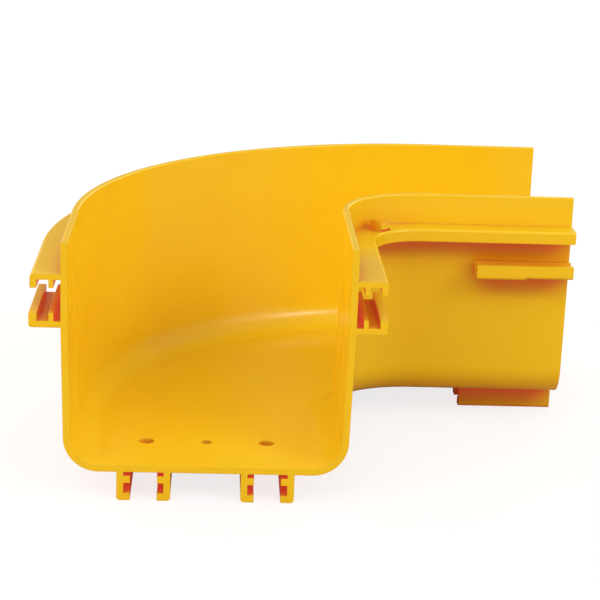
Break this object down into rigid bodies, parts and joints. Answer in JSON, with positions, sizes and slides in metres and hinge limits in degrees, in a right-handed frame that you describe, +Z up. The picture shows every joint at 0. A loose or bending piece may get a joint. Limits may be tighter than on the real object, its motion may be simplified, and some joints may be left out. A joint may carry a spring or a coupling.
{
  "type": "fibre raceway horizontal elbow",
  "caption": "Right-angle elbow for an open-topped fibre raceway: a drafted U channel with coupling ledges, a cover catch and slotted rails under its floor.",
  "frame": {"origin": "centre of the bounding box's base, on the plane of the rails' undersides", "axes": "+Z up, out of the channel's open top; -Y out of the front opening; +X out of the side opening"},
  "size_m": [0.2176, 0.2176, 0.1001],
  "materials": {
    "yellow_plastic": "smooth moulded plastic, semi-gloss, coloured right through"
  },
  "bodies": {
    "root": {"elbow_body": "yellow_plastic"}
  },
  "joints": []
}
